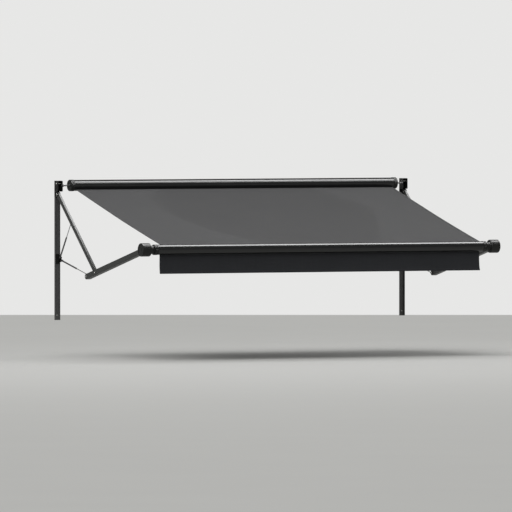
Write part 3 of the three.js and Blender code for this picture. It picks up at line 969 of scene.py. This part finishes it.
def head_cover(hand, side):
    """Dished lid of a drum, with a raised rim, a hub and six countersunk screws."""
    name = hand + "_head_cover"
    low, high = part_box(name)
    radius = (high.z - low.z) / 2
    thick = high.x - low.x
    inner = Vector((edge_x(name, -side), *ROLLER_AXIS))
    spigot, seat = radius - 9.5 * MM, 8 * MM
    profile = [
        (0, 0), (spigot, 0), (spigot, seat), (radius, seat), (radius, seat + 2.5 * MM),
        (radius - 1.2 * MM, thick - 3 * MM), (radius - 5 * MM, thick - 0.4 * MM),
        (radius - 9 * MM, thick), (radius - 12 * MM, thick - 0.8 * MM),
        (radius - 15 * MM, thick - 3.4 * MM), (24 * MM, thick - 3.8 * MM),
        (21 * MM, thick - 1.6 * MM), (16 * MM, thick - 1.2 * MM), (0, thick - 1 * MM),
    ]
    parts = [(turned(profile, segments=96), outboard(side, inner))]
    circle = radius - 26 * MM
    sunk = side * (thick - 7 * MM)
    for degrees in range(30, 360, 60):
        tip = inner + Vector((sunk, *polar(degrees, circle)))
        shape = headed(6 * MM, 2.6 * MM, 5.2 * MM, 2.8 * MM, 2.2 * MM, 0.3 * MM)
        parts.append((shape, outboard(side, tip)))
    assembled(name, hand + "_outer_arm", "casting", *parts)


def roller_plug(hand, side, sizes):
    """Notched flange that closes the roller's end and turns about the shaft."""
    name = hand + "_roller_plug"
    face, flange, rim = end_measures(name, "roller_tube", side)
    profile = [
        *plug_in(ROLLER_RADIUS, SHAFT_BORE, 50 * MM, rim), (rim, 8 * MM), (rim, 9.5 * MM),
        (rim, flange - 12 * MM), (rim, flange - 10.5 * MM), (rim, flange - 4 * MM),
        (rim - 3 * MM, flange - 1 * MM), (rim - 7 * MM, flange), (SHAFT_BORE, flange),
    ]
    shape = turned(profile, ring=True, segments=96)
    groove(shape, 12, sizes.rib * 1.6, 9 * MM, flange - 11 * MM)
    place = outboard(side, Vector((face, *ROLLER_AXIS)))
    assembled(name, "roller", "casting", (shape, place))


def keep_cad(cad_node, key):
    """Gives a CAD node that stays in view its finish."""
    kept = frame["nodes"][cad_node]
    kept.data.materials.clear()
    kept.data.materials.append(finish(key))


class AWNING_OT_roller(bpy.types.Operator):
    """Roller tube, its plugs and springs, and the drum heads on the arms"""

    bl_idname = "awning.roller"
    bl_label = "Roller"

    def execute(self, context):
        sizes = context.scene.awning.hardware
        slotted_tube("roller_tube", ROLLER_AXIS, ROLLER_RADIUS, ROLLER_SLOTS, "roller")
        for hand, side in SIDES:
            head_housing(hand, side, sizes)
            head_cover(hand, side)
            roller_plug(hand, side, sizes)
            keep_cad(hand + "_roller_shaft", "zinc")
            keep_cad(hand + "_torsion_spring", "spring")
        return {"FINISHED"}


# ---------------------------------------------------------------- canopy and valance

# How far below a tube's surface the cloth's edge and the middle of its beading lie in a slot
EDGE_SUNK, BEADING_SUNK = 2.6 * MM, 0.2 * MM
CANOPY_COLUMNS, VALANCE_COLUMNS = 130, 260


class Strip:
    """A line of cloth seen along the tubes: points, their normals and how freely each one hangs."""

    def __init__(self, points, free):
        self.points = points
        self.free = free
        ends = [points[0], *points, points[-1]]
        self.ways = [(b - a).normalized() for a, b in zip(ends, ends[2:])]
        self.normals = [Vector((way.y, -way.x)) for way in self.ways]
        # How far along the cloth each point is
        self.run = [0.0]
        for a, b in zip(points, points[1:]):
            self.run.append(self.run[-1] + (b - a).length)


def canopy_strips():
    """The cloth from the rear tube's slot to the roller's top, and from there into its slot."""
    start = REAR_AXIS + polar(CANOPY_REAR_SLOT, REAR_RADIUS + 2 * MM)
    wrap = ROLLER_RADIUS + 1.6 * MM
    between = start - ROLLER_AXIS
    slope = math.atan2(between.y, between.x) - math.asin(wrap / between.length)
    lift = 90 + math.degrees(slope)
    touch = ROLLER_AXIS + polar(lift, wrap)
    steps, turns = 110, 8
    points = [REAR_AXIS + polar(CANOPY_REAR_SLOT, REAR_RADIUS - EDGE_SUNK)]
    points += [start.lerp(touch, i / steps) for i in range(steps + 1)]
    free = [0.0] + [4 * i / steps * (1 - i / steps) for i in range(steps + 1)]
    swing = CANOPY_FRONT_SLOT - 1 - lift
    over = [ROLLER_AXIS + polar(lift + swing * i / turns, wrap) for i in range(turns + 1)]
    over.append(ROLLER_AXIS + polar(CANOPY_FRONT_SLOT, ROLLER_RADIUS - EDGE_SUNK))
    return Strip(points, free), Strip(over, [0.0] * len(over))


def valance_strip():
    """From the roller's lower slot straight down to the valance's lower edge."""
    top = ROLLER_RADIUS - EDGE_SUNK
    length = ROLLER_AXIS.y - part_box("valance")[0].z - top
    steps = 26
    points = [ROLLER_AXIS - Vector((0, top + length * i / steps)) for i in range(steps + 1)]
    return Strip(points, [(i / steps) ** 1.4 for i in range(steps + 1)])


def canopy_hang(x, share, free):
    """How far the canopy hangs below its straight line: most in the middle, with faint ripples."""
    cloth = bpy.context.scene.awning.fabric
    width = (x - FABRIC_LOW) / (FABRIC_HIGH - FABRIC_LOW)
    # It sags less towards its sides. The ripples' numbers are radians of phase per metre and per
    # length of cloth, chosen so that they don't repeat.
    middle = 1 - 0.3 * abs(2 * width - 1) ** 3
    ripple = math.sin(x * 7.3 + share * 2.1) * math.sin(x * 2.9 + share * 9.7 + 1.3)
    return free * (cloth.sag * middle + cloth.ripple * ripple)


def valance_hang(x, share, free):
    """How far the valance swings out of plumb, in long shallow waves that grow downwards."""
    cloth = bpy.context.scene.awning.fabric
    # The right corner turns back; the waves' numbers are radians of phase per metre.
    corner_width, corner_turn = 0.25, 1.6
    corner = max(0.0, (x - FABRIC_HIGH + corner_width) / corner_width) ** 2
    wave = math.sin(x * 5.1 + 0.6) + 0.5 * math.sin(x * 12.7 + share) - corner_turn * corner
    return free * cloth.wave * wave - cloth.flare * share**5


def laid(strip, hang, row, x, lift=0.0):
    """The point of a hanging strip of cloth at a row and a place along the tubes."""
    share = row / (len(strip.points) - 1)
    out = lift - hang(x, share, strip.free[row])
    return Vector((x, *(strip.points[row] + strip.normals[row] * out)))


def cloth_grid(strip, hang, columns, low=FABRIC_LOW, high=FABRIC_HIGH, first=0, lift=0.0):
    """A sheet along a strip from its first row, from one X to another, with a UV map in metres."""
    rows = len(strip.points) - 1 - first
    bm = bmesh.new()
    bmesh.ops.create_grid(bm, x_segments=rows, y_segments=columns, size=0.5)
    uv = bm.loops.layers.uv.new("cloth")
    flat = {}
    for vert in bm.verts:
        row = first + round((vert.co.x + 0.5) * rows)
        x = low + (vert.co.y + 0.5) * (high - low)
        flat[vert] = (strip.run[row], x)
        vert.co = laid(strip, hang, row, x, lift)
    for face in bm.faces:
        for loop in face.loops:
            loop[uv].uv = flat[loop.vert]
    return bm


def sheet_piece(bm, name, body, key, layers=1, stands_for=()):
    """A sheet as thick as some layers of its cloth, closed round its rim."""
    piece = make_piece(bm, name, body, key, stands_for, sheet=True)
    wall = piece.modifiers.new("Thickness", "SOLIDIFY")
    wall.thickness = layers * bpy.context.scene.awning.fabric.thickness
    wall.offset = 0
    return piece


def stitches(strip, hang, name, body, rows, columns, lift, lengthwise=False):
    """Short raised stitches at the given rows and places; lengthwise ones follow the strip."""
    bm = bmesh.new()
    size = Matrix.Diagonal((2.6 * MM, 0.7 * MM, 0.5 * MM, 1))
    for row in rows:
        along = Vector((0, *strip.ways[row])) if lengthwise else Vector((1, 0, 0))
        way = along.to_track_quat("X", "Z").to_matrix().to_4x4()
        for x in columns:
            place = Matrix.Translation(laid(strip, hang, row, x, lift)) @ way @ size
            bmesh.ops.create_icosphere(bm, subdivisions=1, radius=1, matrix=place)
    return make_piece(bm, name, body, "thread")


def finer(strip, spacing, first):
    """The same line of cloth from a row on, with its points a stitch apart."""
    points, free = [], []
    row, last = first, len(strip.points) - 1
    count = int((strip.run[last] - strip.run[first]) / spacing)
    for i in range(count + 1):
        run = strip.run[first] + i * spacing
        while row + 1 < last and strip.run[row + 1] < run:
            row += 1
        share = (run - strip.run[row]) / (strip.run[row + 1] - strip.run[row])
        points.append(strip.points[row].lerp(strip.points[row + 1], share))
        free.append(strip.free[row] * (1 - share) + strip.free[row + 1] * share)
    return Strip(points, free)


def beading(name, body, axis, slot, tube_radius):
    """Round beading that a cloth's edge is sewn round, lying in a tube's slot."""
    radius = bpy.context.scene.awning.fabric.keder
    total = FABRIC_HIGH - FABRIC_LOW
    profile = [(0, 0), (radius * 0.7, 0), (radius, radius * 0.3)]
    profile += [(r, total - along) for r, along in reversed(profile)]
    start = (FABRIC_LOW, *(axis + polar(slot, tube_radius - BEADING_SUNK)))
    bm = bmesh.new()
    put(bm, turned(profile, segments=16), Matrix.Translation(start))
    return make_piece(bm, name, body, "keder")


def gather(pieces):
    """Gives each piece of the canopy its own copy of its mesh."""
    for piece in pieces:
        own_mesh(piece)


class AWNING_OT_canopy(bpy.types.Operator):
    """Canopy sheet with its side hems, stitching and beading"""

    bl_idname = "awning.canopy"
    bl_label = "Canopy"

    def execute(self, context):
        cloth = context.scene.awning.fabric
        strip, over = canopy_strips()
        bm = cloth_grid(strip, canopy_hang, CANOPY_COLUMNS)
        canopy = sheet_piece(bm, "canopy_sheet", "root", "canopy", stands_for=["canopy"])
        hem_start = 3
        seam = finer(strip, cloth.stitch, hem_start)
        lift = cloth.thickness
        trimmings = []
        for hand, side in SIDES:
            edge = FABRIC_LOW if side < 0 else FABRIC_HIGH
            inner = edge - side * cloth.side_hem
            low, high = sorted((edge, inner))
            hem = cloth_grid(strip, canopy_hang, 3, low, high, hem_start, lift)
            trimmings.append(sheet_piece(hem, f"canopy_{hand}_hem", "root", "canopy"))
            name = f"canopy_{hand}_stitching"
            rows, columns = range(len(seam.points)), [inner + side * 3 * MM]
            sewn = stitches(seam, canopy_hang, name, "root", rows, columns, lift * 1.8, True)
            trimmings.append(sewn)
        gather([canopy, *trimmings])
        bm = cloth_grid(over, canopy_hang, CANOPY_COLUMNS)
        rear = ("canopy_rear_beading", "root", REAR_AXIS, CANOPY_REAR_SLOT, REAR_RADIUS)
        front = ("canopy_front_beading", "roller", ROLLER_AXIS, CANOPY_FRONT_SLOT, ROLLER_RADIUS)
        trimmings += [
            sheet_piece(bm, "canopy_front_turn", "roller", "canopy"),
            beading(*rear),
            beading(*front),
        ]
        return {"FINISHED"}


class AWNING_OT_valance(bpy.types.Operator):
    """Valance with its hem, stitching and beading"""

    bl_idname = "awning.valance"
    bl_label = "Valance"

    def execute(self, context):
        cloth = context.scene.awning.fabric
        strip = valance_strip()
        bm = cloth_grid(strip, valance_hang, VALANCE_COLUMNS)
        body = "valance"
        valance = sheet_piece(bm, "valance_sheet", body, "valance", stands_for=["valance"])
        hem_top = strip.run[-1] - cloth.lower_hem
        first = next(i for i, run in enumerate(strip.run) if run > hem_top)
        bm = cloth_grid(strip, valance_hang, VALANCE_COLUMNS, first=first)
        hem = sheet_piece(bm, "valance_hem", body, "valance", layers=3)
        count = int((FABRIC_HIGH - FABRIC_LOW) / cloth.stitch)
        columns = [FABRIC_LOW + (i + 0.5) * cloth.stitch for i in range(count)]
        lift = -cloth.thickness * 1.6
        rows, name = [first + 1], "valance_stitching"
        sewn = stitches(strip, valance_hang, name, body, rows, columns, lift)
        edge = beading("valance_beading", body, ROLLER_AXIS, VALANCE_SLOT, ROLLER_RADIUS)
        return {"FINISHED"}


# ---------------------------------------------------------------- stage

CAMERA_TARGET = Vector((2.11, -1.1, 0.028))
SKY_LIGHT, SKY_SEEN = 0.26, 0.8
KEY_STRENGTH, KEY_SOFTNESS = 1.9, math.radians(40)
OVERHEAD_WATTS, LOW_FRONT_WATTS = 1500, 40


def add_light(name, kind, place, aim, energy, **settings):
    """Adds a light that points at a place."""
    data = bpy.data.lights.new(name, kind)
    data.energy = energy
    for key, value in settings.items():
        setattr(data, key, value)
    light = bpy.data.objects.new(name, data)
    light.location = place
    light.rotation_euler = (Vector(aim) - Vector(place)).to_track_quat("-Z", "Y").to_euler()
    bpy.context.scene.collection.objects.link(light)
    return light


def add_highlight(name, place, aim, watts, depth):
    """Adds a wide area light that only makes highlights."""
    panel = {"shape": "RECTANGLE", "size": 14.0, "size_y": depth}
    add_light(name, "AREA", place, aim, watts, **panel).visible_diffuse = False


def add_floor(azimuth, level):
    """A plain pale floor that ends some way behind the awning, square to the camera."""
    half, behind = 450, 20.5  # half its side, and how far it goes behind the wall
    square = Matrix.Rotation(-azimuth, 4, "Z") @ Matrix.Translation((0, behind - half, level))
    bm = bmesh.new()
    bmesh.ops.create_grid(bm, x_segments=1, y_segments=1, size=half, matrix=square)
    mesh = bpy.data.meshes.new("floor")
    bm.to_mesh(mesh)
    bm.free()
    mesh.materials.append(finish("floor"))
    floor = bpy.data.objects.new("floor", mesh)
    bpy.context.scene.collection.objects.link(floor)


def add_world():
    """An even pale sky: one brightness to light the object, and a paler one to stand behind it."""
    world = bpy.data.worlds.new("studio")
    world.use_nodes = True
    tree = world.node_tree
    tree.nodes.clear()
    seen = node(tree, "ShaderNodeLightPath").outputs["Is Camera Ray"]
    mix = {0: seen, 2: SKY_LIGHT, 3: SKY_SEEN}
    strength = node(tree, "ShaderNodeMix", mix, data_type="FLOAT").outputs[0]
    sky = {"Color": (1.0, 1.0, 0.99, 1.0), "Strength": strength}
    sky = node(tree, "ShaderNodeBackground", sky)
    node(tree, "ShaderNodeOutputWorld", {"Surface": sky.outputs["Background"]})
    bpy.context.scene.world = world


def add_camera(stage):
    """A long lens to the left of the awning, a little above its middle."""
    data = bpy.data.cameras.new("camera")
    data.lens = stage.lens
    data.sensor_width = 36
    data.clip_end = 2000
    camera = bpy.data.objects.new("camera", data)
    flat = math.cos(stage.elevation)
    east, north = math.sin(stage.azimuth) * flat, math.cos(stage.azimuth) * flat
    look = Vector((east, north, -math.sin(stage.elevation)))
    camera.location = CAMERA_TARGET - look * stage.distance
    camera.rotation_euler = look.to_track_quat("-Z", "Y").to_euler()
    bpy.context.scene.collection.objects.link(camera)
    bpy.context.scene.camera = camera


class AWNING_OT_stage(bpy.types.Operator):
    """Camera, pale floor and soft studio light"""

    bl_idname = "awning.stage"
    bl_label = "Stage"

    def execute(self, context):
        stage = context.scene.awning.stage
        low, high = CAD_BOX
        middle = (low + high) / 2
        add_camera(stage)
        add_floor(stage.azimuth, low.z - stage.floor_drop)
        add_world()
        add_light("key", "SUN", (-4, -8, 10), middle, KEY_STRENGTH, angle=KEY_SOFTNESS)
        above, below = (middle.x, -1.4, 5), (middle.x, -1.2, 0)
        add_highlight("overhead", above, below, OVERHEAD_WATTS, 3.0)
        add_highlight("low_front", (0, -14, 4.4), middle, LOW_FRONT_WATTS, 0.8)
        context.scene.view_settings.view_transform = "Standard"
        return {"FINISHED"}


# ---------------------------------------------------------------- panel and registration

class AWNING_PT_parts(bpy.types.Panel):
    """Lists the steps that build the awning's finished pieces"""

    bl_idname = "AWNING_PT_parts"
    bl_label = "Patio awning"
    bl_space_type = "VIEW_3D"
    bl_region_type = "UI"
    bl_category = "Awning"

    def draw(self, context):
        for step in OPERATORS:
            self.layout.operator(step.bl_idname)
        settings = context.scene.awning
        for group in (settings.colours, settings.fabric, settings.hardware, settings.stage):
            box = self.layout.box()
            for name in group.__annotations__:
                box.prop(group, name)


SETTINGS = (AwningColours, AwningFabric, AwningHardware, AwningStage, AwningSettings)
OPERATORS = (
    AWNING_OT_wall_fixings,
    AWNING_OT_rear_tube,
    AWNING_OT_arms,
    AWNING_OT_links,
    AWNING_OT_roller,
    AWNING_OT_canopy,
    AWNING_OT_valance,
    AWNING_OT_stage,
)


def register():
    """Adds the classes and the scene's settings."""
    for cls in (*SETTINGS, *OPERATORS, AWNING_PT_parts):
        bpy.utils.register_class(cls)
    bpy.types.Scene.awning = bpy.props.PointerProperty(type=AwningSettings)


def unregister():
    """Takes the settings and the classes away again."""
    del bpy.types.Scene.awning
    for cls in reversed((*SETTINGS, *OPERATORS, AWNING_PT_parts)):
        bpy.utils.unregister_class(cls)


def main():
    """Builds every piece and the stage."""
    register()
    bpy.ops.awning.wall_fixings()
    bpy.ops.awning.rear_tube()
    bpy.ops.awning.arms()
    bpy.ops.awning.links()
    bpy.ops.awning.roller()
    bpy.ops.awning.canopy()
    bpy.ops.awning.valance()
    bpy.ops.awning.stage()


if __name__ == "__main__":
    main()
